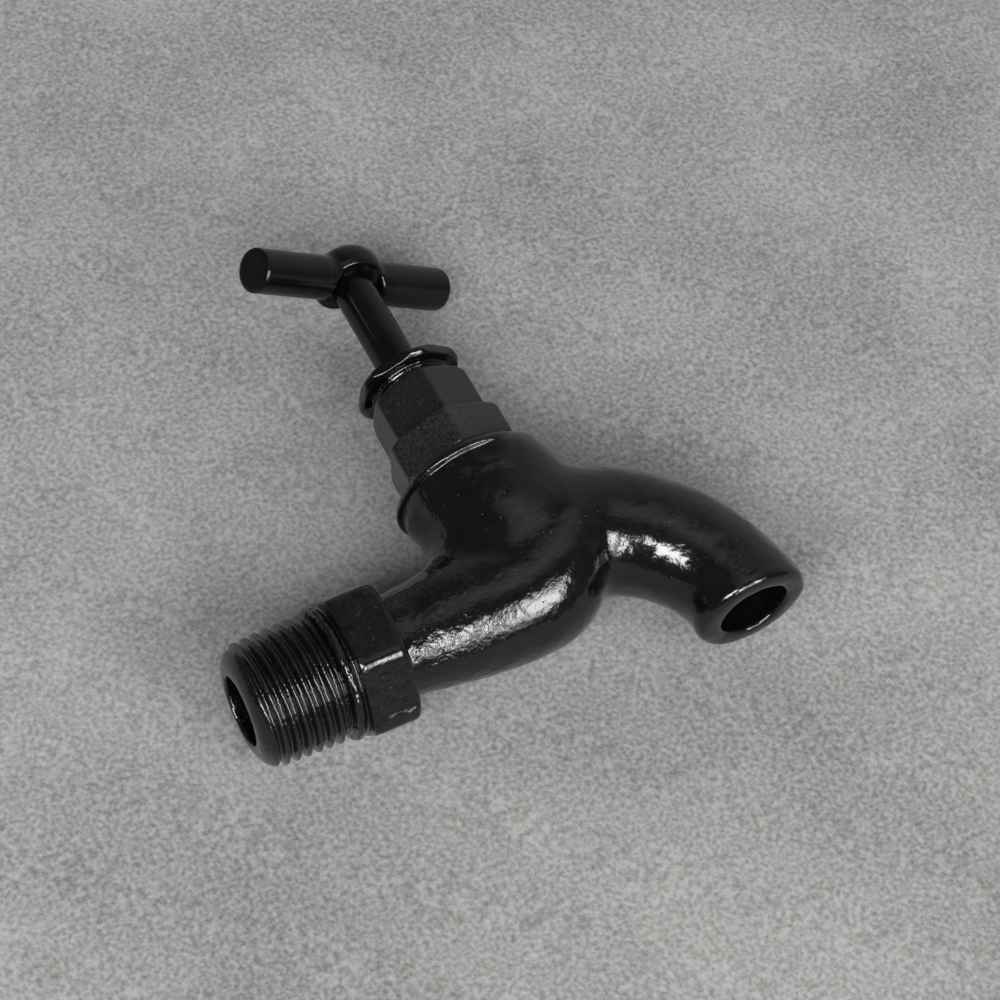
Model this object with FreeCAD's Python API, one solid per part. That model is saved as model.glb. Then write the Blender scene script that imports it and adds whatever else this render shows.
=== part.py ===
# Water tap, the old bib pattern: cast body with a taper-threaded inlet, a screwed bonnet with a
# stuffing box, a rising spindle with a cast T-handle, and a loose jumper with a rubber washer.
# Millimetres. X runs along the inlet from the thread's open end (x = 0) towards the spout,
# Z is the spindle's axis, up, and Y = 0 is the plane the casting is symmetrical about.
import FreeCAD, Part
import math
import os

V = FreeCAD.Vector

# Inlet thread, R 1/2 taper thread
thread_pitch = 1.8143
thread_gauge_dia = 20.955
thread_gauge_length = 8.2
thread_taper = 1 / 16
thread_depth = 1.16
thread_root_flat = 0.28
thread_half_angle = 27.5
thread_length = 14.1
thread_lead = 1.0
relief_length = 0.6
relief_depth = 0.2
nose_round = 3.9
nose_flare = 0.4
inlet_bore_dia = 11.4

# Collar, groove and spanner hexagon behind the thread
collar_dia = 22.4
collar_length = 1.7
collar_round = 0.6
groove_length = 0.65
groove_dia = 20.2
body_hex_af = 22.3
body_hex_length = 8.3
body_hex_round = 1.4
body_hex_bevel = 1.5
body_hex_bevel_length = 1.0
body_hex_lip = 0.7
body_hex_lip_length = 0.4

# Outside of the cast body: round sections from the hexagon to the spout's mouth
spindle_x = 50.2
run_start_radius = 8.4
run_shoulder_back = 20.0
run_back_shares = (1.0, 0.8, 0.55, 0.275)
run_radius_shares = (0.771, 0.828, 0.881, 0.916)
belly_radius = 11.35
belly_ahead = 3.2
belly_rise = 1.9
belly_slope = 0.09
crown_radius = 11.9
crown_ahead = 9.2
crown_rise = 5.5
crown_slope = 0.03
spout_reach = 30.3
spout_drop = 18.3
spout_bend_radius = 25.7
spout_start_angle = 65
spout_start_radius = 10.6
spout_stations = 6
mouth_radius = 9.3
mouth_round = 1.3

# Neck for the bonnet; it leans towards the spout on its way down
neck_top = 22.8
neck_radius = 12.2
neck_shares = (-0.04, 0.24, 0.53, 0.74)
neck_lean = 2.2
neck_lean_shares = (0.55, 1.0, 0.77, 0.27)
neck_radius_shares = (0.738, 0.951, 1.033, 1.012)
neck_blend = 5.5
rim_radius = 13.0
rim_height = 3.0
rim_round = 1.3
rim_slope = 0.6

# Swelling that carries the rim over into the spout
swell_heights = (11.0, 16.0, 19.5, 22.0)
swell_ahead = (3.2, 2.7, 1.8, 0.9)
swell_radii = (12.2, 12.6, 12.8, 12.5)

# Waterway inside the body
passage_radius = 4.8
passage_drop = 2.3
passage_roof = 2.9
bore_stop_back = 17.0
chamber_radius = 8.4
neck_thread_radius = 9.0
neck_thread_run_out = 1.8
spout_bore_dia = 11.6
spout_bore_start_radius = 4.5
spout_bore_lift = 2.6
spout_bore_angles = (90, 56, 28, 0)

# Valve seat, washer and jumper
seat_bore_radius = 4.5
seat_wall = 1.7
seat_sink = 2.0
seat_stand = 1.5
seat_lip = 0.5
press_gap = 0.02
washer_radius = 6.2
washer_thickness = 3.2
washer_round = 0.4
washer_hole_gap = 0.1
jumper_plate_radius = 6.4
jumper_plate_thickness = 1.8
jumper_stem_radius = 2.3
jumper_stem_length = 8.0
jumper_stud_radius = 1.5
jumper_edge = 0.35
washer_nut_af = 5.5
washer_nut_thickness = 2.2
stud_overhang = 0.4

# Spindle and its thread
lift = 5.0
lift_gap = 0.5
spindle_pitch = 2.0
spindle_thread_radius = 5.5
spindle_thread_depth = 1.0
spindle_thread_length = 12.0
spindle_radius = 3.5
stem_hole_gap = 0.1
stem_hole_end_gap = 0.5
spindle_foot_gap = 0.1
tenon_gap = 0.05
tenon_end_gap = 0.35

# Bonnet
body_washer_thickness = 1.0
body_washer_radius = 10.9
bonnet_hex_af = 19.0
bonnet_hex_length = 7.6
bonnet_neck_af = 16.0
bonnet_neck_length = 9.6
bonnet_turn = -94.0
bonnet_neck_turn = -89.5
bonnet_foot_bevel = 0.4
bonnet_step_bevel = 1.1
bonnet_top_bevel = 1.5
bonnet_screw_gap = 0.06
bonnet_screw_edge = 0.6
bonnet_thread_gap = 0.08
bonnet_thread_end_gap = 1.6
stem_bore_gap = 0.06
box_floor = 2.6
box_radius = 6.0

# Packing and gland nut
packing_washer_thickness = 0.8
packing_rings = 3
packing_ring_height = 1.15
packing_ring_gap = 0.02
packing_side_gap = 0.03
gland_nose_length = 0.6
gland_nose_gap = 0.2
gland_head_gap = 1.8
gland_head_thickness = 1.9
gland_hex_af = 17.0
gland_corner_radius = 9.2
gland_bevel = 0.7
gland_thread_radius = 7.1
gland_thread_gap = 0.06
gland_turn = -84.0
gland_thread_pitch = 0.8
gland_thread_depth = 0.4

# T-handle and its screw
handle_height = 66.8
handle_turn = 35.7
arm_radius = 3.75
arm_length = 21.2
arm_edge = 0.25
hub_radius = 6.3
hub_face_radius = 4.8
hub_foot_radius = 5.9
hub_rise = 3.8
hub_drop = 1.6
hub_recess_radius = 5.3
hub_recess_depth = 1.0
handle_web = 0.8
screw_head_radius = 2.9
screw_head_height = 1.3
screw_head_sink = 0.15
screw_head_edge = 0.35
screw_recess_gap = 0.2
screw_shank_radius = 1.5
screw_shank_gap = 0.1
screw_tap_gap = 0.05
screw_length = 8.0
screw_end_gap = 0.6
screw_slot_width = 0.9
screw_slot_depth = 0.7

# Places worked out from the sizes above
collar_start = thread_length + relief_length
hex_start = collar_start + collar_length + groove_length
hex_end = hex_start + body_hex_length
mouth_x = spindle_x + spout_reach
mouth_z = -spout_drop
chamber_floor = passage_radius - passage_drop + passage_roof
seat_outer_radius = seat_bore_radius + seat_wall
seat_bottom = chamber_floor - seat_sink
seat_top = chamber_floor + seat_stand
washer_top = seat_top + washer_thickness
plate_top = washer_top + jumper_plate_thickness
stem_top = plate_top + jumper_stem_length
spindle_foot = plate_top + spindle_foot_gap
spindle_thread_top = spindle_foot + spindle_thread_length
plug_bottom = plate_top + lift + lift_gap
bonnet_thread_top = spindle_thread_top + lift + bonnet_thread_end_gap
bonnet_seat = neck_top + body_washer_thickness
bonnet_step = bonnet_seat + bonnet_hex_length
bonnet_top = bonnet_step + bonnet_neck_length
box_bottom = bonnet_thread_top + box_floor
packing_bottom = box_bottom + packing_washer_thickness
packing_top = packing_bottom + packing_rings * (packing_ring_height + packing_ring_gap)
gland_bottom = packing_top + packing_ring_gap
gland_thread_bottom = gland_bottom + gland_nose_length
gland_head_bottom = bonnet_top + gland_head_gap
gland_head_top = gland_head_bottom + gland_head_thickness
hub_bottom = handle_height - hub_drop
hub_top = handle_height + hub_rise
shoulder_height = hub_bottom + hub_recess_depth
screw_seat = hub_top - screw_head_height
square_top = screw_seat - handle_web
tenon_top = square_top - tenon_end_gap
tenon_side = spindle_radius * 1.4
tap_bottom = screw_seat - screw_length - screw_end_gap

# How far fused pieces run into each other, and cutters past what they cut
bite = 0.5
past = 1.0


def turned(outline):
    """A solid turned about the spindle's axis from (radius, height) corners."""
    corners = [V(spindle_x + r, 0, z) for r, z in outline]
    face = Part.Face(Part.makePolygon(corners + corners[:1]))
    return face.revolve(V(spindle_x, 0, 0), V(0, 0, 1), 360)


def turned_on_inlet(outline):
    """A solid turned about the inlet's axis from (x, radius) corners."""
    corners = [V(x, 0, r) for x, r in outline]
    face = Part.Face(Part.makePolygon(corners + corners[:1]))
    return face.revolve(V(0, 0, 0), V(1, 0, 0), 360)


def rod(radius, bottom, top):
    """An upright cylinder on the spindle's axis."""
    return Part.makeCylinder(radius, top - bottom, V(spindle_x, 0, bottom), V(0, 0, 1))


def upright_hex(across_flats, bottom, top, turn, corner, foot, crown):
    """A hexagon on the spindle's axis, its corners turned to a radius and bevelled at both ends."""
    sharp = across_flats / math.sqrt(3)
    angles = [math.radians(turn + 60 * k) for k in range(7)]
    points = [V(spindle_x + sharp * math.cos(a), sharp * math.sin(a), bottom) for a in angles]
    prism = Part.Face(Part.makePolygon(points)).extrude(V(0, 0, top - bottom))
    outline = [(0, bottom), (corner - foot, bottom), (corner, bottom + foot * 0.7)]
    outline += [(corner, top - crown * 1.2), (corner - crown * 0.35, top - crown * 0.45)]
    outline += [(corner - crown * 1.15, top), (0, top)]
    return prism.common(turned(outline))


def is_ring(edge, radius, height, slack=0.01):
    """True for a full circle of this radius at this height round the spindle's axis."""
    if not isinstance(edge.Curve, Part.Circle):
        return False
    centre = edge.Curve.Center
    level = abs(centre.z - height) < slack and abs(centre.x - spindle_x) < slack
    return level and abs(edge.Curve.Radius - radius) < slack


def round_edges(shape, radius, wanted):
    """Fillet the edges that the test picks."""
    return shape.makeFillet(radius, [e for e in shape.Edges if wanted(e)])


def joined(first, second, blend):
    """Two solids fused, with a fillet along the seam where they meet."""
    def on_seam(edge):
        span = edge.LastParameter - edge.FirstParameter
        for share in (0.2, 0.5, 0.8):
            spot = Part.Vertex(edge.valueAt(edge.FirstParameter + span * share))
            if max(first.distToShape(spot)[0], second.distToShape(spot)[0]) > 0.001:
                return False
        return True

    return round_edges(first.fuse(second), blend, on_seam)


def ridges(crest, root, bottom, top, pitch):
    """Corners of a screwed stretch drawn as plain ridges, as many whole ones as fit."""
    count = int((top - bottom) / pitch)
    corners = []
    for k in range(count):
        foot = bottom + (top - bottom - count * pitch) / 2 + k * pitch
        corners += [(root, foot + pitch * 0.06), (crest, foot + pitch * 0.34)]
        corners += [(crest, foot + pitch * 0.66), (root, foot + pitch * 0.94)]
    return corners


def disc_wire(x, z, radius, direction):
    """A circle in space, seam towards +Y, square to a direction in the plane Y = 0."""
    wire = Part.Wire(Part.Circle(V(0, 0, 0), V(0, 0, 1), radius).toShape())
    across = V(0, 1, 0)
    wire.Placement = FreeCAD.Placement(V(x, 0, z), FreeCAD.Rotation(across, V(0, 0, 0), direction, "ZXY"))
    return wire


def bend_point(angle, rise=0.0):
    """A point on the spout's bend and the direction the water takes there."""
    a = math.radians(angle)
    x = mouth_x - spout_bend_radius + spout_bend_radius * math.cos(a)
    z = mouth_z + rise + spout_bend_radius * math.sin(a)
    return x, z, V(math.sin(a), 0, -math.cos(a))


def inlet_thread():
    """The tapered male thread: a cone with a helical groove cut out of it."""
    start_radius = (thread_gauge_dia - thread_gauge_length * thread_taper) / 2
    end_radius = start_radius + thread_length * thread_taper / 2
    core = Part.makeCone(start_radius, end_radius, thread_length)
    run_in = thread_lead
    path_radius = start_radius - run_in * thread_taper / 2
    path_length = run_in + thread_length + relief_length * 0.6
    over = thread_depth * 0.26
    narrow = thread_root_flat / 2
    wide = narrow + (thread_depth + over) * math.tan(math.radians(thread_half_angle))
    root = path_radius - thread_depth
    crest = path_radius + over
    profile = [V(root, 0, -narrow), V(root, 0, narrow), V(crest, 0, wide), V(crest, 0, -wide)]
    taper = math.degrees(math.atan(thread_taper / 2))
    path = Part.makeHelix(thread_pitch, path_length, path_radius, taper)
    outline = Part.makePolygon(profile + profile[:1])
    groove = Part.Wire(path).makePipeShell([outline], True, True)
    groove.translate(V(0, 0, -run_in))
    nose = Part.makeCone(start_radius, end_radius + nose_flare, thread_length)
    nose = round_edges(nose, nose_round, lambda e: e.BoundBox.ZMax < 0.01)
    thread = core.cut(groove).common(nose)
    thread.rotate(V(0, 0, 0), V(0, 1, 0), 90)
    return thread


def inlet_end():
    """Thread, relief, collar, groove and hexagon on the inlet's axis."""
    relief_radius = thread_gauge_dia / 2 - thread_depth - relief_depth
    collar = collar_dia / 2
    collar_end = collar_start + collar_length
    barrel_start = thread_length - bite
    barrel_end = hex_start + bite
    outline = [(barrel_start, 0), (barrel_start, relief_radius), (collar_start, relief_radius)]
    outline += [(collar_start, collar - collar_round), (collar_start + collar_round, collar)]
    outline += [(collar_end - collar_round, collar), (collar_end, collar - collar_round)]
    outline += [(collar_end, groove_dia / 2), (barrel_end, groove_dia / 2), (barrel_end, 0)]
    barrel = turned_on_inlet(outline)
    corner = body_hex_af / math.sqrt(3)
    angles = [math.radians(60 * k) for k in range(7)]
    points = [V(hex_start, corner * math.sin(a), corner * math.cos(a)) for a in angles]
    nut = Part.Face(Part.makePolygon(points)).extrude(V(body_hex_length, 0, 0))
    nut = round_edges(nut, body_hex_round, lambda e: abs(e.Length - body_hex_length) < 0.01)
    lip = corner - body_hex_lip
    low = corner - body_hex_bevel
    bevel = [(hex_start, 0), (hex_start, lip), (hex_start + body_hex_lip_length, corner)]
    bevel += [(hex_end - body_hex_bevel_length, corner), (hex_end, low), (hex_end, 0)]
    nut = nut.common(turned_on_inlet(bevel))
    return inlet_thread().fuse([barrel, nut])


def cast_run():
    """The outside of the casting from the hexagon to the spout's mouth, one skin over round sections."""
    stations = [(hex_end - bite, 0, V(1, 0, 0), run_start_radius)]
    for back, radius in zip(run_back_shares, run_radius_shares):
        x = spindle_x - run_shoulder_back * back
        stations += [(x, 0, V(1, 0, 0), belly_radius * radius)]
    stations += [(spindle_x + belly_ahead, belly_rise, V(1, 0, belly_slope), belly_radius)]
    stations += [(spindle_x + crown_ahead, crown_rise, V(1, 0, crown_slope), crown_radius)]
    for k in range(spout_stations):
        share = 1 - k / (spout_stations - 1)
        x, z, direction = bend_point(spout_start_angle * share)
        radius = mouth_radius + (spout_start_radius - mouth_radius) * share ** 2
        stations += [(x, z, direction, radius)]
    rings = [disc_wire(x, z, radius, direction) for x, z, direction, radius in stations]
    skin = Part.makeLoft(rings, True, False)
    return round_edges(skin, mouth_round, lambda e: e.BoundBox.ZMax < mouth_z + 0.01)


def neck():
    """The neck that takes the bonnet, with its rolled rim."""
    rim_bottom = neck_top - rim_height
    rim_start = rim_bottom - rim_slope
    up = V(0, 0, 1)
    rings = []
    for share, lean, radius in zip(neck_shares, neck_lean_shares, neck_radius_shares):
        x = spindle_x + neck_lean * lean
        rings += [disc_wire(x, neck_top * share, neck_radius * radius, up)]
    rings += [disc_wire(spindle_x, rim_start, neck_radius, up)]
    pillar = Part.makeLoft(rings, True, False)
    outline = [(0, rim_start), (neck_radius, rim_start), (rim_radius, rim_bottom)]
    outline += [(rim_radius, neck_top), (0, neck_top)]
    rim = round_edges(turned(outline), rim_round, lambda e: is_ring(e, rim_radius, neck_top))
    rim = round_edges(rim, rim_round * 0.5, lambda e: is_ring(e, rim_radius, rim_bottom))
    return pillar.fuse(rim)


def swelling():
    """Where the rim and the neck run out smoothly into the top of the spout."""
    up = V(0, 0, 1)
    rings = []
    for height, ahead, radius in zip(swell_heights, swell_ahead, swell_radii):
        rings += [disc_wire(spindle_x + ahead, height, radius, up)]
    return Part.makeLoft(rings, True, False)


def waterway():
    """Everything the water fills, and the bonnet's threaded hole: what is cut out of the casting."""
    bore_stop = spindle_x - bore_stop_back
    bore_radius = inlet_bore_dia / 2
    along = V(1, 0, 0)
    inlet = Part.makeCylinder(bore_radius, bore_stop + past, V(-past, 0, 0), along)
    inlet_dome = Part.makeSphere(bore_radius, V(bore_stop, 0, 0))
    under = Part.makeCylinder(passage_radius, bore_stop_back, V(bore_stop, 0, -passage_drop), along)
    under_dome = Part.makeSphere(passage_radius, V(spindle_x, 0, -passage_drop))
    riser = rod(seat_bore_radius, -passage_drop, chamber_floor + past)
    seat_hole = rod(seat_outer_radius + press_gap, seat_bottom, chamber_floor + past)
    chamber = rod(chamber_radius, chamber_floor, neck_top + past)
    screw_hole = rod(neck_thread_radius, plug_bottom - neck_thread_run_out, neck_top + past)
    rings = []
    mouth_bore = spout_bore_dia / 2
    for k, angle in enumerate(spout_bore_angles):
        share = k / (len(spout_bore_angles) - 1)
        radius = spout_bore_start_radius + (mouth_bore - spout_bore_start_radius) * share
        x, z, direction = bend_point(angle, spout_bore_lift)
        rings += [disc_wire(x, z, radius, direction)]
    bend = Part.makeLoft(rings, True, False)
    start_x, start_z, direction = bend_point(spout_bore_angles[0], spout_bore_lift)
    way_foot = V(spindle_x - chamber_radius / 2, 0, start_z)
    way = Part.makeCylinder(spout_bore_start_radius, start_x - way_foot.x, way_foot, along)
    mouth_foot = V(mouth_x, 0, mouth_z - past)
    mouth = Part.makeCylinder(mouth_bore, spout_bore_lift + past, mouth_foot, V(0, 0, 1))
    cuts = [inlet_dome, under, under_dome, riser, seat_hole, chamber, screw_hole]
    cuts += [way, bend, mouth]
    return inlet.fuse(cuts)


def tap_body():
    """The casting: run, neck and inlet end, hollowed out."""
    shell = joined(cast_run(), neck(), neck_blend).fuse([inlet_end(), swelling()])
    return shell.cut(waterway())


def valve_seat():
    """The ring pressed into the casting's web that the washer closes on."""
    outline = [(seat_bore_radius, seat_bottom), (seat_outer_radius, seat_bottom)]
    outline += [(seat_outer_radius, seat_top - seat_lip), (seat_outer_radius - seat_lip, seat_top)]
    outline += [(seat_bore_radius, seat_top)]
    return turned(outline)


def tap_washer():
    """The rubber washer under the jumper's plate."""
    disc = rod(washer_radius, seat_top, washer_top)
    disc = round_edges(disc, washer_round, lambda e: is_ring(e, washer_radius, seat_top))
    return disc.cut(rod(jumper_stud_radius + washer_hole_gap, seat_top - past, washer_top + past))


def jumper():
    """Plate over the washer, stem up into the spindle, stud down through the washer."""
    stud_bottom = seat_top - washer_nut_thickness - stud_overhang
    plate, edge = jumper_plate_radius, jumper_edge
    stem = jumper_stem_radius
    outline = [(0, stud_bottom), (jumper_stud_radius, stud_bottom), (jumper_stud_radius, washer_top)]
    outline += [(plate, washer_top), (plate, plate_top - edge), (plate - edge, plate_top)]
    outline += [(stem, plate_top), (stem, stem_top - edge), (stem - edge, stem_top), (0, stem_top)]
    return turned(outline)


def washer_nut():
    """The small nut that holds the washer on the jumper's stud."""
    bottom = seat_top - washer_nut_thickness
    corner = washer_nut_af / math.sqrt(3)
    nut = upright_hex(washer_nut_af, bottom, seat_top, 0, corner, 0.3, 0.2)
    return nut.cut(rod(jumper_stud_radius + press_gap, bottom - past, seat_top + past))


def spindle():
    """Threaded foot, plain stem, square tenon for the handle, tapped for its screw."""
    root = spindle_thread_radius - spindle_thread_depth
    outline = [(0, spindle_foot), (root, spindle_foot)]
    outline += ridges(spindle_thread_radius, root, spindle_foot, spindle_thread_top, spindle_pitch)
    outline += [(root, spindle_thread_top), (0, spindle_thread_top)]
    foot = turned(outline)
    stem = rod(spindle_radius, spindle_thread_top - bite, shoulder_height)
    corner = V(spindle_x - tenon_side / 2, -tenon_side / 2, shoulder_height - bite)
    tenon = Part.makeBox(tenon_side, tenon_side, tenon_top - shoulder_height + bite, corner)
    tenon.rotate(V(spindle_x, 0, 0), V(0, 0, 1), handle_turn)
    solid = foot.fuse([stem, tenon])
    stem_hole = rod(jumper_stem_radius + stem_hole_gap, spindle_foot - past, stem_top + stem_hole_end_gap)
    return solid.cut([stem_hole, rod(screw_shank_radius + screw_tap_gap, tap_bottom, tenon_top + past)])


def body_washer():
    """The fibre ring between the casting's rim and the bonnet."""
    hole = rod(neck_thread_radius, neck_top - past, bonnet_seat + past)
    return rod(body_washer_radius, neck_top, bonnet_seat).cut(hole)


def bonnet():
    """Screwed plug, spanner hexagon, smaller hexagon with the stuffing box."""
    corner = bonnet_hex_af / math.sqrt(3)
    lower = upright_hex(bonnet_hex_af, bonnet_seat, bonnet_step, bonnet_turn, corner,
                        bonnet_foot_bevel, bonnet_step_bevel)
    corner = bonnet_neck_af / math.sqrt(3)
    upper = upright_hex(bonnet_neck_af, bonnet_step - bite, bonnet_top, bonnet_neck_turn, corner,
                        0.1, bonnet_top_bevel)
    plug = neck_thread_radius - bonnet_screw_gap
    edge = bonnet_screw_edge
    outline = [(0, plug_bottom), (plug - edge, plug_bottom), (plug, plug_bottom + edge)]
    outline += [(plug, bonnet_seat + bite), (0, bonnet_seat + bite)]
    solid = lower.fuse([upper, turned(outline)])
    thread_bore = spindle_thread_radius + bonnet_thread_gap
    stem_bore = spindle_radius + stem_bore_gap
    hole = [(0, plug_bottom - past), (thread_bore, plug_bottom - past)]
    hole += [(thread_bore, bonnet_thread_top), (stem_bore, bonnet_thread_top), (stem_bore, box_bottom)]
    hole += [(box_radius, box_bottom), (box_radius, gland_thread_bottom)]
    hole += [(gland_thread_radius, gland_thread_bottom), (gland_thread_radius, bonnet_top + past)]
    hole += [(0, bonnet_top + past)]
    return solid.cut(turned(hole))


def packing_washer():
    """The metal ring at the bottom of the stuffing box."""
    ring = rod(box_radius - packing_side_gap, box_bottom, packing_bottom)
    return ring.cut(rod(spindle_radius + stem_bore_gap, box_bottom - past, packing_bottom + past))


def gland_packing():
    """Rings of packing round the spindle, one solid each."""
    rings = []
    for k in range(packing_rings):
        bottom = packing_bottom + packing_ring_gap + k * (packing_ring_height + packing_ring_gap)
        top = bottom + packing_ring_height
        ring = rod(box_radius - packing_side_gap, bottom, top)
        rings += [ring.cut(rod(spindle_radius + packing_side_gap, bottom - past, top + past))]
    return Part.makeCompound(rings)


def gland_nut():
    """Thin hexagon head over a threaded sleeve that presses the packing down."""
    head = upright_hex(gland_hex_af, gland_head_bottom, gland_head_top, gland_turn,
                       gland_corner_radius, gland_bevel, gland_bevel)
    outer = gland_thread_radius - gland_thread_gap
    root = outer - gland_thread_depth
    nose = box_radius - gland_nose_gap
    thread_start = gland_thread_bottom + gland_nose_gap
    outline = [(0, gland_bottom), (nose, gland_bottom), (nose, thread_start), (root, thread_start)]
    outline += ridges(outer, root, thread_start, gland_head_bottom, gland_thread_pitch)
    outline += [(root, gland_head_bottom + bite), (0, gland_head_bottom + bite)]
    solid = head.fuse(turned(outline))
    return solid.cut(rod(spindle_radius + stem_bore_gap, gland_bottom - past, gland_head_top + past))


def barrel_hub():
    """The handle's hub, a short barrel with an arc for its side."""
    def point(radius, height):
        return V(spindle_x + radius, 0, height)

    low = point(hub_foot_radius, hub_bottom)
    high = point(hub_face_radius, hub_top)
    side = Part.Arc(low, point(hub_radius, handle_height), high).toShape()
    corners = [high, point(0, hub_top), point(0, hub_bottom), low]
    edges = [Part.makeLine(a, b) for a, b in zip(corners[:-1], corners[1:])]
    return Part.Face(Part.Wire([side] + edges)).revolve(V(spindle_x, 0, 0), V(0, 0, 1), 360)


def t_handle():
    """One casting: a hub with two round arms, hollow and a square hole below, screw recess above."""
    bar_start = V(spindle_x - arm_length, 0, handle_height)
    bar = Part.makeCylinder(arm_radius, 2 * arm_length, bar_start, V(1, 0, 0))
    bar = bar.makeChamfer(arm_edge, [e for e in bar.Edges if isinstance(e.Curve, Part.Circle)])
    solid = barrel_hub().fuse(bar)
    hole_side = tenon_side + 2 * tenon_gap
    corner = V(spindle_x - hole_side / 2, -hole_side / 2, hub_bottom - past)
    hole = Part.makeBox(hole_side, hole_side, square_top - hub_bottom + past, corner)
    recess = rod(screw_head_radius + screw_recess_gap, screw_seat, hub_top + past)
    clear = rod(screw_shank_radius + screw_shank_gap, hub_bottom, hub_top)
    hollow = rod(hub_recess_radius, handle_height - 2 * arm_radius, shoulder_height)
    solid = solid.cut([hole, recess, clear, hollow])
    solid.rotate(V(spindle_x, 0, 0), V(0, 0, 1), handle_turn)
    return solid


def handle_screw():
    """The slotted screw that holds the handle down on the spindle's shoulder."""
    foot = screw_seat - screw_length
    top = hub_top - screw_head_sink
    shank, head, edge = screw_shank_radius, screw_head_radius, screw_head_edge
    outline = [(0, foot), (shank - edge, foot), (shank, foot + edge), (shank, screw_seat)]
    outline += [(head, screw_seat), (head, top - edge), (head - edge, top), (0, top)]
    slot_corner = V(spindle_x - 2 * head, -screw_slot_width / 2, top - screw_slot_depth)
    slot = Part.makeBox(4 * head, screw_slot_width, screw_slot_depth + past, slot_corner)
    return turned(outline).cut(slot)


pieces = {
    "tap_body": tap_body,
    "valve_seat": valve_seat,
    "tap_washer": tap_washer,
    "jumper": jumper,
    "washer_nut": washer_nut,
    "spindle": spindle,
    "body_washer": body_washer,
    "bonnet": bonnet,
    "packing_washer": packing_washer,
    "gland_packing": gland_packing,
    "gland_nut": gland_nut,
    "t_handle": t_handle,
    "handle_screw": handle_screw,
}

os.makedirs("parts", exist_ok=True)
for name, make in pieces.items():
    shape = make()
    print(name, "solids", len(shape.Solids), "valid", shape.isValid(), "volume", round(shape.Volume, 1))
    shape.exportStep("parts/" + name + ".step")
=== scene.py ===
# Looks for the water tap: black enamel over an iron casting, photographed lying on its back.
# Metres throughout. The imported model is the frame, and every piece rides on one of its bodies.
import math

import bmesh
import bpy
from mathutils import Matrix, Vector, noise


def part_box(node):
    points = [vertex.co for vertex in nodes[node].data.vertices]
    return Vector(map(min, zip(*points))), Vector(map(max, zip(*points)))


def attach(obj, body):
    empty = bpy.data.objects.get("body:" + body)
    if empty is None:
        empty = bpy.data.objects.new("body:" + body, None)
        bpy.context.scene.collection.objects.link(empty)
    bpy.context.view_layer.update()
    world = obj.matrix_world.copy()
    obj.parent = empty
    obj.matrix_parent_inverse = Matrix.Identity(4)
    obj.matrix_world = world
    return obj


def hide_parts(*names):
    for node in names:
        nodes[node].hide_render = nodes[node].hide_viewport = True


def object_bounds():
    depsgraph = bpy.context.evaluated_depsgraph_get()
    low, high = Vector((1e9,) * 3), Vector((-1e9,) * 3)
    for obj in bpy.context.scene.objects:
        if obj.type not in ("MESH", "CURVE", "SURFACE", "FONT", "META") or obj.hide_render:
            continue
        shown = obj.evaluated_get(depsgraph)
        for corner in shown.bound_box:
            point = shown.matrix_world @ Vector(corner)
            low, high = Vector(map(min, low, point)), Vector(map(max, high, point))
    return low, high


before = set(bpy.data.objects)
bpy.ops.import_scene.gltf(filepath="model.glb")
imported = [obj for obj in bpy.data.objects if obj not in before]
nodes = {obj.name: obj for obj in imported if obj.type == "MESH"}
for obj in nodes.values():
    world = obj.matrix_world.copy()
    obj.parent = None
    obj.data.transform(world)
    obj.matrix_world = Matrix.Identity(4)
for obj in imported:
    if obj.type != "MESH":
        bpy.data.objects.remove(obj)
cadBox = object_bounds()
scene = bpy.context.scene
mm = 0.001

spindleLow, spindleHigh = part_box("spindle")
spindleX = (spindleLow.x + spindleHigh.x) / 2
middle = (cadBox[0] + cadBox[1]) / 2

# Camera: the photograph's viewing angle, found by fitting the tap's outline
camera = {
    "place": (-0.08309, -0.39552, -0.19497),
    "forward": (0.2911, 0.8431, 0.4522),
    "up": (0.3572, -0.5343, 0.7661),
    "lens": 105.33,
    "sensor": 36.0,
}


def makeCamera():
    data = bpy.data.cameras.new("photoCamera")
    data.lens = camera["lens"]
    data.sensor_width = camera["sensor"]
    data.clip_start = 0.01
    data.clip_end = 20
    seen = bpy.data.objects.new("photoCamera", data)
    scene.collection.objects.link(seen)
    forward = Vector(camera["forward"]).normalized()
    right = forward.cross(Vector(camera["up"])).normalized()
    up = right.cross(forward)
    turn = Matrix((right, up, -forward)).transposed().to_4x4()
    seen.matrix_world = Matrix.Translation(camera["place"]) @ turn
    scene.camera = seen


makeCamera()
print("camera made")


def linear(code):
    # sRGB hex to the linear colour that a shader takes
    parts = [int(code[k:k + 2], 16) / 255 for k in (1, 3, 5)]
    return [c / 12.92 if c <= 0.04045 else ((c + 0.055) / 1.055) ** 2.4 for c in parts] + [1.0]


def perMm(size):
    # texture scale for a pattern whose features are this many millimetres across
    return 1000 / size


def addNode(tree, kind, values=None, links=None, **settings):
    node = tree.nodes.new(kind)
    for name, value in settings.items():
        setattr(node, name, value)
    for socket, value in (values or {}).items():
        node.inputs[socket].default_value = value
    for socket, source in (links or {}).items():
        tree.links.new(source, node.inputs[socket])
    return node


def newMaterial(name):
    material = bpy.data.materials.new(name)
    material.use_nodes = True
    material.node_tree.nodes.clear()
    return material, material.node_tree


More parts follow.
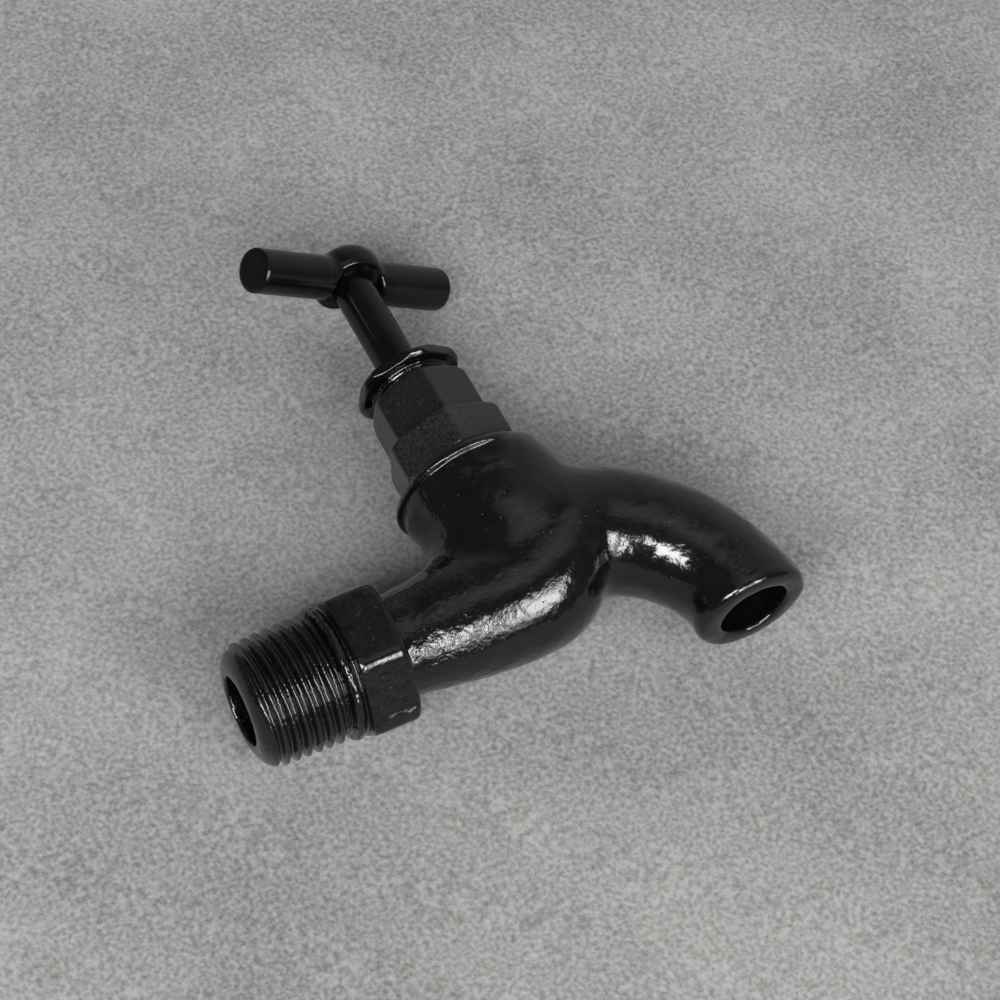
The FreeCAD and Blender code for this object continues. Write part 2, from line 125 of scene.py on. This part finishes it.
# Enamel coats: the casting is dipped thickly, the turned pieces have a thinner, smoother coat.
# Gloss is the clear skin over a rougher body. Sizes and depths are in millimetres; shares are the
# part of the cells that hold a pit or a nib.
coats = {
    "castIronEnamel": {
        "colour": "#040404",
        "dust": "#090909",
        "dustSize": 3.0,
        "dustyBelow": 1.0,
        "gloss": 1.0,
        "glossRoughness": 0.11,
        "bodyShine": 0.01,
        "roughness": (0.30, 0.42),
        "peelSize": 1.0,
        "peelDepth": 0.16,
        "calmShare": 0.4,
        "grainSize": 0.32,
        "grainDepth": 0.016,
        "pitSize": 3.6,
        "pitRadius": 0.28,
        "pitDepth": 0.08,
        "pitShare": 0.3,
        "nibSize": 1.2,
        "nibRadius": 0.15,
        "nibHeight": 0.12,
        "nibShare": 0.45,
    },
    "threadEnamel": {
        "colour": "#040404",
        "dust": "#0b0b0b",
        "dustSize": 2.0,
        "dustyBelow": 1.0,
        "gloss": 1.0,
        "glossRoughness": 0.14,
        "bodyShine": 0.01,
        "roughness": (0.4, 0.55),
        "peelSize": 0.85,
        "peelDepth": 0.06,
        "calmShare": 1.0,
        "grainSize": 0.28,
        "grainDepth": 0.016,
        "pitSize": 2.6,
        "pitRadius": 0.2,
        "pitDepth": 0.05,
        "pitShare": 0.3,
        "nibSize": 0.8,
        "nibRadius": 0.14,
        "nibHeight": 0.13,
        "nibShare": 0.7,
    },
    "brassworkEnamel": {
        "colour": "#09090a",
        "dust": "#262629",
        "dustSize": 0.5,
        "dustyBelow": 0.0305,
        "gloss": 0.7,
        "glossRoughness": 0.2,
        "bodyShine": 0.15,
        "roughness": (0.42, 0.6),
        "peelSize": 1.1,
        "peelDepth": 0.035,
        "calmShare": 1.0,
        "grainSize": 0.24,
        "grainDepth": 0.026,
        "pitSize": 2.2,
        "pitRadius": 0.18,
        "pitDepth": 0.04,
        "pitShare": 0.25,
        "nibSize": 0.8,
        "nibRadius": 0.14,
        "nibHeight": 0.11,
        "nibShare": 0.5,
    },
    "wetEnamel": {
        "colour": "#030303",
        "dust": "#060606",
        "dustSize": 3.0,
        "dustyBelow": 1.0,
        "gloss": 1.0,
        "glossRoughness": 0.05,
        "bodyShine": 0.01,
        "roughness": (0.3, 0.45),
        "peelSize": 1.3,
        "peelDepth": 0.1,
        "calmShare": 1.0,
        "grainSize": 0.35,
        "grainDepth": 0.008,
        "pitSize": 3.0,
        "pitRadius": 0.2,
        "pitDepth": 0.05,
        "pitShare": 0.2,
        "nibSize": 1.3,
        "nibRadius": 0.13,
        "nibHeight": 0.06,
        "nibShare": 0.25,
    },
    "handleEnamel": {
        "colour": "#040404",
        "dust": "#09090a",
        "dustSize": 2.6,
        "dustyBelow": 1.0,
        "gloss": 0.65,
        "glossRoughness": 0.18,
        "bodyShine": 0.01,
        "roughness": (0.35, 0.5),
        "peelSize": 2.2,
        "peelDepth": 0.03,
        "calmShare": 1.0,
        "grainSize": 0.3,
        "grainDepth": 0.005,
        "pitSize": 4.0,
        "pitRadius": 0.2,
        "pitDepth": 0.04,
        "pitShare": 0.15,
        "nibSize": 2.2,
        "nibRadius": 0.12,
        "nibHeight": 0.05,
        "nibShare": 0.15,
    },
}

# What all the coats share: where along X the paint turns calmer, how the dust lies, and the IOR of
# the body and of the clear skin
enamel = {
    "calmFrom": 0.034,
    "calmTo": 0.046,
    "dustClouds": (0.35, 0.68),
    "dustFade": 0.001,
    "dustHigherUp": 0.35,
    "ior": 1.5,
    "skinIor": 1.55,
}


def addSpots(tree, place, size, radius, share):
    # round spots scattered one to a cell, in the given share of the cells: 1 inside, 0 outside
    cell = addNode(tree, "ShaderNodeTexVoronoi", {"Scale": perMm(size)}, {"Vector": place})
    near = addNode(tree, "ShaderNodeMapRange", {"From Max": radius / size, "To Min": 1.0,
                   "To Max": 0.0}, {"Value": cell.outputs["Distance"]},
                   interpolation_type="SMOOTHSTEP")
    lot = addNode(tree, "ShaderNodeSeparateColor", links={"Color": cell.outputs["Color"]})
    picked = addNode(tree, "ShaderNodeMath", {1: share}, {0: lot.outputs["Red"]},
                     operation="LESS_THAN")
    spot = addNode(tree, "ShaderNodeMath", links={0: near.outputs["Result"],
                   1: picked.outputs["Value"]}, operation="MULTIPLY")
    return spot.outputs["Value"]


def addBump(tree, height, depth, below=None, sunk=False, strength=None):
    links = {"Height": height}
    if below:
        links["Normal"] = below
    if strength:
        links["Strength"] = strength
    bump = addNode(tree, "ShaderNodeBump", {"Distance": depth * mm}, links, invert=sunk)
    return bump.outputs["Normal"]


def makeEnamel(name):
    # Glossy black stove enamel: orange-peel skin, a few pits, and dust nibs that catch the light
    coat = coats[name]
    material, tree = newMaterial(name)
    place = addNode(tree, "ShaderNodeTexCoord").outputs["Object"]
    peel = addNode(tree, "ShaderNodeTexNoise", {"Scale": perMm(coat["peelSize"]), "Detail": 2.0,
                   "Roughness": 0.45}, {"Vector": place})
    grain = addNode(tree, "ShaderNodeTexNoise", {"Scale": perMm(coat["grainSize"]), "Detail": 2.0},
                    {"Vector": place})
    pits = addSpots(tree, place, coat["pitSize"], coat["pitRadius"], coat["pitShare"])
    nibs = addSpots(tree, place, coat["nibSize"], coat["nibRadius"], coat["nibShare"])
    axes = addNode(tree, "ShaderNodeSeparateXYZ", links={"Vector": place})
    # the paint lies calmer on the belly and the spout than on the run from the wall
    calm = addNode(tree, "ShaderNodeMapRange", {"From Min": enamel["calmFrom"],
                   "From Max": enamel["calmTo"], "To Min": 1.0, "To Max": coat["calmShare"]},
                   {"Value": axes.outputs["X"]})
    skin = addBump(tree, peel.outputs["Fac"], coat["peelDepth"], strength=calm.outputs["Result"])
    skin = addBump(tree, grain.outputs["Fac"], coat["grainDepth"], skin)
    skin = addBump(tree, pits, coat["pitDepth"], skin, sunk=True)
    skin = addBump(tree, nibs, coat["nibHeight"], skin)
    patch = addNode(tree, "ShaderNodeTexNoise", {"Scale": perMm(coat["dustSize"]), "Detail": 5.0,
                    "Roughness": 0.6}, {"Vector": place})
    sparse, thick = enamel["dustClouds"]
    cloud = addNode(tree, "ShaderNodeMapRange", {"From Min": sparse, "From Max": thick},
                    {"Value": patch.outputs["Fac"]})
    # on the brasswork the dust lies thickly up to the larger hexagon's top; elsewhere all over
    settled = addNode(tree, "ShaderNodeMapRange", {"From Min": coat["dustyBelow"],
                      "From Max": coat["dustyBelow"] + enamel["dustFade"], "To Min": 1.0,
                      "To Max": enamel["dustHigherUp"]}, {"Value": axes.outputs["Z"]})
    dust = addNode(tree, "ShaderNodeMath", links={0: cloud.outputs["Result"],
                   1: settled.outputs["Result"]}, operation="MULTIPLY")
    tone = addNode(tree, "ShaderNodeMix", {6: linear(coat["colour"]), 7: linear(coat["dust"])},
                   {0: dust.outputs["Value"]}, data_type="RGBA")
    smooth, dull = coat["roughness"]
    shine = addNode(tree, "ShaderNodeMapRange", {"To Min": smooth, "To Max": dull},
                    {"Value": cloud.outputs["Result"]})
    shader = addNode(tree, "ShaderNodeBsdfPrincipled", {"IOR": enamel["ior"],
                     "Specular IOR Level": coat["bodyShine"], "Coat Weight": coat["gloss"],
                     "Coat Roughness": coat["glossRoughness"], "Coat IOR": enamel["skinIor"]},
                     {"Base Color": tone.outputs[2], "Roughness": shine.outputs["Result"],
                      "Normal": skin, "Coat Normal": skin})
    addNode(tree, "ShaderNodeOutputMaterial", links={"Surface": shader.outputs["BSDF"]})
    return material


enamels = {name: makeEnamel(name) for name in coats}
print("enamels made:", len(enamels))

# Inner pieces keep their CAD shapes and get plain engineering materials
metals = {
    "turnedBrass": {
        "colour": "#c8a35a",
        "dark": "#a8823f",
        "roughness": 0.26,
        "ringPitch": 0.22,
        "ringDepth": 0.004,
        "ringWaver": 0.4,
        "toneSize": 3.0,
    },
    "blackenedSteel": {
        "colour": "#4a4a4d",
        "dark": "#2c2c2f",
        "roughness": 0.34,
        "ringPitch": 0.18,
        "ringDepth": 0.004,
        "ringWaver": 0.4,
        "toneSize": 3.0,
    },
}


def makeTurnedMetal(name):
    # Bar stock from the lathe: fine rings about the spindle's axis, slightly uneven tone
    metal = metals[name]
    material, tree = newMaterial(name)
    place = addNode(tree, "ShaderNodeTexCoord").outputs["Object"]
    centred = addNode(tree, "ShaderNodeMapping", {"Location": (-spindleX, 0, 0)},
                      {"Vector": place})
    # a wave texture repeats every 2 pi / 20 of a unit at scale 1
    rings = addNode(tree, "ShaderNodeTexWave", {"Scale": perMm(metal["ringPitch"]) * math.pi / 10,
                    "Distortion": metal["ringWaver"]}, {"Vector": centred.outputs["Vector"]},
                    wave_type="RINGS", rings_direction="Z")
    bump = addNode(tree, "ShaderNodeBump", {"Distance": metal["ringDepth"] * mm},
                   {"Height": rings.outputs["Fac"]})
    cloud = addNode(tree, "ShaderNodeTexNoise", {"Scale": perMm(metal["toneSize"]), "Detail": 3.0},
                    {"Vector": place})
    tone = addNode(tree, "ShaderNodeMix", {6: linear(metal["colour"]), 7: linear(metal["dark"])},
                   {0: cloud.outputs["Fac"]}, data_type="RGBA")
    shader = addNode(tree, "ShaderNodeBsdfPrincipled", {"Metallic": 1.0,
                     "Roughness": metal["roughness"]},
                     {"Base Color": tone.outputs[2], "Normal": bump.outputs["Normal"]})
    addNode(tree, "ShaderNodeOutputMaterial", links={"Surface": shader.outputs["BSDF"]})
    return material


softs = {
    "mouldedRubber": {
        "colour": "#1d1c1b",
        "fleck": "#2b2a28",
        "roughness": 0.62,
        "grainSize": 0.4,
        "grainDepth": 0.01,
        "stretch": (1, 1, 1),
    },
    "vulcanisedFibre": {
        "colour": "#0e0d0d",
        "fleck": "#171514",
        "roughness": 0.5,
        "grainSize": 0.5,
        "grainDepth": 0.02,
        "stretch": (1, 1, 4),
    },
    "greasedYarn": {
        "colour": "#2e2c28",
        "fleck": "#4d4a42",
        "roughness": 0.55,
        "grainSize": 0.6,
        "grainDepth": 0.08,
        "stretch": (1, 1, 2.5),
    },
}


def makeSoft(name):
    # Rubber, pressed fibre and packing yarn: dull, with flecks and a grain that may run lengthways
    soft = softs[name]
    material, tree = newMaterial(name)
    place = addNode(tree, "ShaderNodeTexCoord").outputs["Object"]
    pulled = addNode(tree, "ShaderNodeMapping", {"Scale": soft["stretch"]}, {"Vector": place})
    grain = addNode(tree, "ShaderNodeTexNoise", {"Scale": perMm(soft["grainSize"]), "Detail": 4.0,
                    "Roughness": 0.6}, {"Vector": pulled.outputs["Vector"]})
    bump = addNode(tree, "ShaderNodeBump", {"Distance": soft["grainDepth"] * mm},
                   {"Height": grain.outputs["Fac"]})
    tone = addNode(tree, "ShaderNodeMix", {6: linear(soft["colour"]), 7: linear(soft["fleck"])},
                   {0: grain.outputs["Fac"]}, data_type="RGBA")
    shader = addNode(tree, "ShaderNodeBsdfPrincipled", {"Roughness": soft["roughness"]},
                     {"Base Color": tone.outputs[2], "Normal": bump.outputs["Normal"]})
    addNode(tree, "ShaderNodeOutputMaterial", links={"Surface": shader.outputs["BSDF"]})
    return material


innerMaterials = {name: makeTurnedMetal(name) for name in metals}
innerMaterials.update({name: makeSoft(name) for name in softs})

finishes = {
    "valve_seat": innerMaterials["turnedBrass"],
    "jumper": innerMaterials["turnedBrass"],
    "washer_nut": innerMaterials["turnedBrass"],
    "packing_washer": innerMaterials["turnedBrass"],
    "tap_washer": innerMaterials["mouldedRubber"],
    "body_washer": innerMaterials["vulcanisedFibre"],
    "gland_packing": innerMaterials["greasedYarn"],
    "handle_screw": innerMaterials["blackenedSteel"],
    "spindle": enamels["handleEnamel"],
    "tap_body": enamels["castIronEnamel"],
    "bonnet": enamels["brassworkEnamel"],
    "gland_nut": enamels["wetEnamel"],
    "t_handle": enamels["handleEnamel"],
}
for node, finish in finishes.items():
    for slot in nodes[node].material_slots:
        slot.material = finish
print("finishes given to", len(finishes), "nodes")


weldGap = 0.00001  # CAD triangles meet within this
sliver = 0.000005  # thinner than this, a triangle is dropped


def mergedCopy(node):
    # a bmesh copy of a CAD node with its loose triangles joined up
    bm = bmesh.new()
    bm.from_mesh(nodes[node].data)
    bmesh.ops.remove_doubles(bm, verts=bm.verts, dist=weldGap)
    bmesh.ops.dissolve_degenerate(bm, edges=bm.edges, dist=sliver)
    return bm


def keepSide(bm, x, ahead):
    # cut square to the inlet at x and close the cut
    whole = bm.verts[:] + bm.edges[:] + bm.faces[:]
    cut = bmesh.ops.bisect_plane(bm, geom=whole, plane_co=(x, 0, 0), plane_no=(1, 0, 0),
                                 clear_inner=ahead, clear_outer=not ahead)
    rim = [e for e in cut["geom_cut"] if isinstance(e, bmesh.types.BMEdge)]
    bmesh.ops.triangle_fill(bm, edges=rim, use_beauty=True)
    bmesh.ops.recalc_face_normals(bm, faces=bm.faces)


def remeshed(bm, name, voxel):
    # one even skin over a closed shape, returned as a new bmesh
    mesh = bpy.data.meshes.new(name)
    bm.to_mesh(mesh)
    bm.free()
    holder = bpy.data.objects.new(name, mesh)
    scene.collection.objects.link(holder)
    modifier = holder.modifiers.new("skin", "REMESH")
    modifier.mode = "VOXEL"
    modifier.voxel_size = voxel
    graph = bpy.context.evaluated_depsgraph_get()
    skin = bpy.data.meshes.new_from_object(holder.evaluated_get(graph))
    bpy.data.objects.remove(holder)
    bpy.data.meshes.remove(mesh)
    fresh = bmesh.new()
    fresh.from_mesh(skin)
    bpy.data.meshes.remove(skin)
    return fresh


def relax(bm, passes, wanted=None, share=0.5):
    # even out the skin; the test picks the points that may move, share is how far each pass goes
    points = [v for v in bm.verts if wanted is None or wanted(v.co)]
    for _ in range(passes):
        bmesh.ops.smooth_vert(bm, verts=points, factor=share, use_axis_x=True, use_axis_y=True,
                              use_axis_z=True)


def lump(bm, size, depth, seed, wanted=None):
    # gentle hand-cast unevenness, pushed along the normals; size and depth in millimetres. The
    # seed shifts the noise, so that no two are alike.
    bm.normal_update()
    drift = Vector((seed, seed * 0.7, seed * 1.3))
    moves = []
    for v in bm.verts:
        if wanted is None or wanted(v.co):
            swell = noise.noise(v.co * perMm(size) + drift)
            moves.append((v, v.normal * swell * depth * mm))
    for v, move in moves:
        v.co += move


def finishPiece(bm, name, node, material, body):
    mesh = bpy.data.meshes.new(name)
    bm.to_mesh(mesh)
    bm.free()
    mesh.shade_smooth()
    piece = bpy.data.objects.new(name, mesh)
    scene.collection.objects.link(piece)
    mesh.materials.append(material)
    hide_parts(node)
    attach(piece, body)
    print(name, sum(len(face.vertices) - 2 for face in mesh.polygons), "triangles")


# Casting: everything past the spanner hexagon, one thickly enamelled skin. Steps, swell and mouth
# are heights on Z, except stepFade, swellAhead and mouthBack, which lie on X.
casting = {
    "seam": 0.02543,
    "seamMargin": 0.0006,
    "voxel": 0.00036,
    "rimBottom": 0.0190,
    "neckRadius": 0.01222,
    "stepCuts": (0.0205, 0.0208, 0.0210, 0.0212, 0.0214, 0.0216),
    "cutReach": 0.0006,
    "cutRadius": 0.0118,
    "stepEdge": (0.0209, 0.0213),
    "stepFoot": (0.0170, 0.0192),
    "stepFade": (0.0505, 0.0555),
    "swellAhead": 0.058,
    "swellTop": 0.0215,
    "mouthTop": -0.0155,
    "mouthBack": 0.0672,
    "edgePasses": 3,
    "edgesBelow": 0.0185,
    "longRounds": 4,
    "longPasses": 16,
    "roundMargin": 0.0009,
    "lumpSize": 3.4,
    "lumpDepth": 0.10,
    "lumpSeed": 3.1,
    "rippleSize": 1.7,
    "rippleDepth": 0.035,
    "rippleSeed": 8.4,
}


def smoothStep(low, high, value):
    share = min(max((value - low) / (high - low), 0), 1)
    return share * share * (3 - 2 * share)


def stepRim(bm):
    # the rolled rim stands proud of the neck by a sharp step, which fades out into the spout
    way = casting
    axis = Vector((spindleX, 0))
    for level in way["stepCuts"]:
        near = [f for f in bm.faces if abs(f.calc_center_median().z - level) < way["cutReach"]
                and (f.calc_center_median().xy - axis).length > way["cutRadius"]]
        parts = set(near) | {e for f in near for e in f.edges} | {v for f in near for v in f.verts}
        bmesh.ops.bisect_plane(bm, geom=list(parts), plane_co=(0, 0, level), plane_no=(0, 0, 1))
    for v in bm.verts:
        out = v.co.xy - axis
        if out.length > way["neckRadius"] and v.co.z > way["stepFoot"][0]:
            share = 1 - smoothStep(*way["stepEdge"], v.co.z)
            share *= smoothStep(*way["stepFoot"], v.co.z)
            share *= 1 - smoothStep(*way["stepFade"], v.co.x)
            sunk = out * (1 - share * (1 - way["neckRadius"] / out.length))
            v.co.xy = axis + sunk


def makeCasting():
    way = casting
    bm = mergedCopy("tap_body")
    keepSide(bm, way["seam"], ahead=True)
    bm = remeshed(bm, "casting", way["voxel"])
    relax(bm, 1)
    relax(bm, way["edgePasses"], lambda p: p.z < way["edgesBelow"])
    # the long smoothing keeps off the seam, the rim and the mouth, and further off each round
    for step in range(way["longRounds"]):
        margin = way["roundMargin"] * step
        low = way["rimBottom"] - margin
        foot = way["mouthTop"] + margin
        start = way["seam"] + way["seamMargin"] + margin
        crown = way["swellTop"] - margin
        relax(bm, way["longPasses"], lambda p: start < p.x
              and (p.z < low or (p.x > way["swellAhead"] and p.z < crown))
              and (p.z > foot or p.x < way["mouthBack"]))
    stepRim(bm)
    lump(bm, way["lumpSize"], way["lumpDepth"], way["lumpSeed"])
    lump(bm, way["rippleSize"], way["rippleDepth"], way["rippleSeed"])
    finishPiece(bm, "tapBodyCasting", "tap_body", enamels["castIronEnamel"],
                "fixed_body")


# Inlet end: thread, collar and spanner hexagon, the paint rounding every crest and corner
inletEnd = {
    "seam": 0.02585,
    "voxel": 0.000232,
    "passes": 5,
    "hexFrom": 0.0172,
    "hexPasses": 26,
    "lumpSize": 1.8,
    "lumpDepth": 0.04,
    "lumpSeed": 5.2,
    "collar": (0.0139, 0.0163),
    "collarPasses": 14,
    "beadSize": 0.65,
    "beadDepth": 0.12,
    "beadSeed": 1.9,
    "dripFlat": 0.01115,
    "dripSlack": 0.0008,
    "dripMargins": (0.0006, 0.001),
    "dripFrom": 0.0045,
    "dripWidth": 0.0007,
    "dripDepth": 0.22,
    "dripWave": 2.0,
    "dripSeed": 4.0,
    "dripSway": 0.0009,
    "dripFullness": 0.6,
}


def addDrip(bm):
    # the paint's last drops dried as a wavy bead along the lowest corner of the hexagon
    way = inletEnd
    slope = Vector((0, -0.5, -0.8660254))  # faces down and forward, next to the lowest corner
    along = Vector((0, 0.8660254, -0.5))
    start = way["hexFrom"] + way["dripMargins"][0]
    end = way["seam"] - way["dripMargins"][1]
    bm.normal_update()
    for v in bm.verts:
        if v.co.dot(slope) > way["dripFlat"] - way["dripSlack"] and start < v.co.x < end:
            run = v.co.x * perMm(way["dripWave"])
            wave = noise.noise(Vector((run, way["dripSeed"], 0)))
            off = v.co.dot(along) - way["dripFrom"] - wave * way["dripSway"]
            off /= way["dripWidth"]
            height = way["dripDepth"] * (way["dripFullness"] + wave)
            v.co += v.normal * height * mm * math.exp(-off * off)


def makeInletEnd():
    way = inletEnd
    bm = mergedCopy("tap_body")
    keepSide(bm, way["seam"], ahead=False)
    bm = remeshed(bm, "inletEnd", way["voxel"])
    relax(bm, way["passes"])
    relax(bm, way["hexPasses"], lambda p: p.x > way["hexFrom"])
    addDrip(bm)
    lump(bm, way["lumpSize"], way["lumpDepth"], way["lumpSeed"])
    start, end = way["collar"]
    relax(bm, way["collarPasses"], lambda p: start < p.x < end)
    lump(bm, way["beadSize"], way["beadDepth"], way["beadSeed"], lambda p: start < p.x < end)
    finishPiece(bm, "tapBodyInlet", "tap_body", enamels["threadEnamel"],
                "fixed_body")


# Brasswork above the casting: corners softened by the coat. A fillet eases the handle's hub into
# its arms, within a ring about the spindle's axis and between two heights.
softened = {
    "bonnet": {"voxel": 0.00026, "passes": 5, "lumpSize": 3.0, "lumpDepth": 0.03,
               "lumpSeed": 2.7, "coat": "brassworkEnamel", "slot": "black_enamel",
               "body": "fixed_body"},
    "gland_nut": {"voxel": 0.00017, "passes": 1, "lumpSize": 2.6, "lumpDepth": 0.18,
                  "lumpSeed": 2.7, "coat": "wetEnamel", "slot": "black_enamel",
                  "body": "fixed_body"},
    "t_handle": {"voxel": 0.00024, "passes": 2, "lumpSize": 4.0, "lumpDepth": 0.015,
                 "lumpSeed": 2.7, "coat": "handleEnamel", "slot": "black_polished",
                 "body": "spindle_set",
                 "fillets": [
                     {"passes": 22, "ring": (0.0042, 0.0075), "heights": (0.0668, 1.0)},
                     {"passes": 40, "ring": (0.0044, 0.0078), "heights": (0.0, 0.0676)},
                 ]},
}


def makeSoftened(node, name):
    way = softened[node]
    bm = remeshed(mergedCopy(node), name, way["voxel"])
    relax(bm, way["passes"])
    axis = Vector((spindleX, 0))
    for fillet in way.get("fillets", []):
        inner, outer = fillet["ring"]
        low, high = fillet["heights"]
        relax(bm, fillet["passes"], lambda p: inner < (p.xy - axis).length < outer
              and low < p.z < high)
    lump(bm, way["lumpSize"], way["lumpDepth"], way["lumpSeed"])
    finishPiece(bm, name, node, enamels[way["coat"]], way["body"])


makeCasting()
makeInletEnd()
makeSoftened("bonnet", "bonnetPainted")
makeSoftened("gland_nut", "glandNutPainted")
makeSoftened("t_handle", "handlePainted")
print("painted pieces made")

# Stage: a pale board that the tap lies on, seen from its front only, fading out into the studio
stage = {
    "rest": 0.0107,
    "leanAlong": 0.0356,
    "leanUp": 0.0352,
    "reach": 0.9,
    "colour": "#9a9a98",
    "mottle": "#666664",
    "cloudSize": 26,
    "cloudShare": 0.4,
    "grainSize": 0.8,
    "contrast": (0.45, 0.95),
    "fadeFrom": 0.24,
    "fadeTo": 0.55,
}


def makeBoard():
    # Pale board, cloudy with wear and finely grained. It is clear from behind and blocks no lamp.
    material, tree = newMaterial("paleBoard")
    place = addNode(tree, "ShaderNodeTexCoord").outputs["Object"]
    cloud = addNode(tree, "ShaderNodeTexNoise", {"Scale": perMm(stage["cloudSize"]),
                    "Detail": 6.0}, {"Vector": place})
    grain = addNode(tree, "ShaderNodeTexNoise", {"Scale": perMm(stage["grainSize"]),
                    "Detail": 3.0}, {"Vector": place})
    blend = addNode(tree, "ShaderNodeMath", {1: stage["cloudShare"]},
                    {0: cloud.outputs["Fac"], 2: grain.outputs["Fac"]}, operation="MULTIPLY_ADD")
    pale, dark = stage["contrast"]
    level = addNode(tree, "ShaderNodeMapRange", {"From Min": pale, "From Max": dark},
                    {"Value": blend.outputs["Value"]})
    tone = addNode(tree, "ShaderNodeMix", {6: linear(stage["colour"]), 7: linear(stage["mottle"])},
                   {0: level.outputs["Result"]}, data_type="RGBA")
    shader = addNode(tree, "ShaderNodeBsdfDiffuse", links={"Color": tone.outputs[2]})
    gone = addNode(tree, "ShaderNodeBsdfTransparent")
    facing = addNode(tree, "ShaderNodeNewGeometry")
    path = addNode(tree, "ShaderNodeLightPath")
    far = addNode(tree, "ShaderNodeVectorMath", {1: middle}, {0: place}, operation="DISTANCE")
    fade = addNode(tree, "ShaderNodeMapRange", {"From Min": stage["fadeFrom"],
                   "From Max": stage["fadeTo"]}, {"Value": far.outputs["Value"]},
                   interpolation_type="SMOOTHSTEP")
    behind = addNode(tree, "ShaderNodeMath", links={0: facing.outputs["Backfacing"],
                     1: path.outputs["Is Shadow Ray"]}, operation="MAXIMUM")
    clear = addNode(tree, "ShaderNodeMath", links={0: behind.outputs["Value"],
                    1: fade.outputs["Result"]}, operation="MAXIMUM")
    mix = addNode(tree, "ShaderNodeMixShader", links={0: clear.outputs["Value"],
                  1: shader.outputs["BSDF"], 2: gone.outputs["BSDF"]})
    addNode(tree, "ShaderNodeOutputMaterial", links={"Surface": mix.outputs["Shader"]})
    bm = bmesh.new()
    bmesh.ops.create_grid(bm, x_segments=2, y_segments=2, size=stage["reach"])
    outward = Vector((stage["leanAlong"], -1, stage["leanUp"])).normalized()
    turn = Vector((0, 0, 1)).rotation_difference(outward).to_matrix().to_4x4()
    rest = stage["rest"] + stage["leanAlong"] * middle.x + stage["leanUp"] * middle.z
    shift = Matrix.Translation((middle.x, rest, middle.z))
    bmesh.ops.transform(bm, matrix=shift @ turn, verts=bm.verts)
    mesh = bpy.data.meshes.new("board")
    bm.to_mesh(mesh)
    bm.free()
    board = bpy.data.objects.new("board", mesh)
    mesh.materials.append(material)
    scene.collection.objects.link(board)


makeBoard()

# Lamps, placed where the photograph's highlights reflect them: a long softbox past the tap's foot
# with a brighter heart and corner, another to its left, a dim wall in front, and a fill for the
# board that isn't mirrored in the enamel. Each is made of nested lamps, so that it fades towards
# its edges. Distances and sizes in metres.
lamps = {
    "longSoftbox": {"towards": (0.06, -0.48, -0.87), "distance": 1.30, "along": (1, 0, 0),
                    "size": (0.80, 0.92), "radiance": 3.6, "nested": (1.0, 0.75, 0.5)},
    "softboxHeart": {"towards": (0.32, -0.53, -0.78), "distance": 1.27, "along": (1, 0, 0),
                     "size": (0.50, 0.76), "radiance": 15.0, "nested": (1.0, 0.8, 0.6, 0.4)},
    "softboxCorner": {"towards": (-0.11, -0.58, -0.81), "distance": 1.24, "along": (1, 0, 0),
                      "size": (0.22, 0.66), "radiance": 18.0, "nested": (1.0, 0.75, 0.5)},
    "sideSoftbox": {"towards": (-0.56, -0.68, -0.47), "distance": 1.30,
                    "along": (-0.80, 0.56, 0.13), "size": (0.74, 0.50), "radiance": 20.0,
                    "nested": (1.0, 0.9, 0.8, 0.6)},
    "frontWall": {"towards": (0.15, -0.96, 0.05), "distance": 1.35, "along": (1, 0, 0),
                  "size": (1.50, 0.95), "radiance": 0.55, "nested": (1.0, 0.8, 0.6, 0.4, 0.2)},
    "boardFill": {"towards": (0.45, -0.55, 0.70), "distance": 0.55, "along": (1, 0, 0),
                  "size": (0.5, 0.4), "radiance": 1.05, "nested": (1.0,), "mirrored": False},
}
nestGap = 0.01  # each lamp of a nest stands this much nearer than the last
# Studio walls: dim, paler towards the upper right
walls = {
    "dim": 0.09,
    "pale": 0.36,
    "towards": (0.80, 0.0, 0.60),
    "from": 0.30,
    "to": 0.98,
}


def makeLamps():
    for name, lamp in lamps.items():
        back = Vector(lamp["towards"]).normalized()
        across = (Vector(lamp["along"]) - back * back.dot(Vector(lamp["along"]))).normalized()
        up = back.cross(across)
        turn = Matrix((across, up, back)).transposed().to_4x4()
        for step, share in enumerate(lamp["nested"]):
            data = bpy.data.lights.new(name, "AREA")
            data.shape = "RECTANGLE"
            data.size, data.size_y = [side * share for side in lamp["size"]]
            # an area lamp of power W shows a radiance of W / (pi * area)
            radiance = lamp["radiance"] / len(lamp["nested"])
            data.energy = radiance * math.pi * data.size * data.size_y
            light = bpy.data.objects.new(name, data)
            light.visible_glossy = lamp.get("mirrored", True)
            scene.collection.objects.link(light)
            reach = lamp["distance"] - nestGap * step
            light.matrix_world = Matrix.Translation(middle + back * reach) @ turn


def makeWorld():
    world = bpy.data.worlds.new("studio")
    world.use_nodes = True
    tree = world.node_tree
    tree.nodes.clear()
    way = addNode(tree, "ShaderNodeTexCoord").outputs["Generated"]
    upperRight = Vector(walls["towards"]).normalized()
    side = addNode(tree, "ShaderNodeVectorMath", {1: upperRight}, {0: way},
                   operation="DOT_PRODUCT")
    level = addNode(tree, "ShaderNodeMapRange", {"From Min": walls["from"],
                    "From Max": walls["to"], "To Min": walls["dim"], "To Max": walls["pale"]},
                    {"Value": side.outputs["Value"]}, interpolation_type="SMOOTHSTEP")
    sky = addNode(tree, "ShaderNodeBackground", {"Color": (1, 1, 1, 1)},
                  {"Strength": level.outputs["Result"]})
    addNode(tree, "ShaderNodeOutputWorld", links={"Surface": sky.outputs["Background"]})
    scene.world = world


makeWorld()
makeLamps()
scene.view_settings.view_transform = "Standard"
print("stage and lamps made")
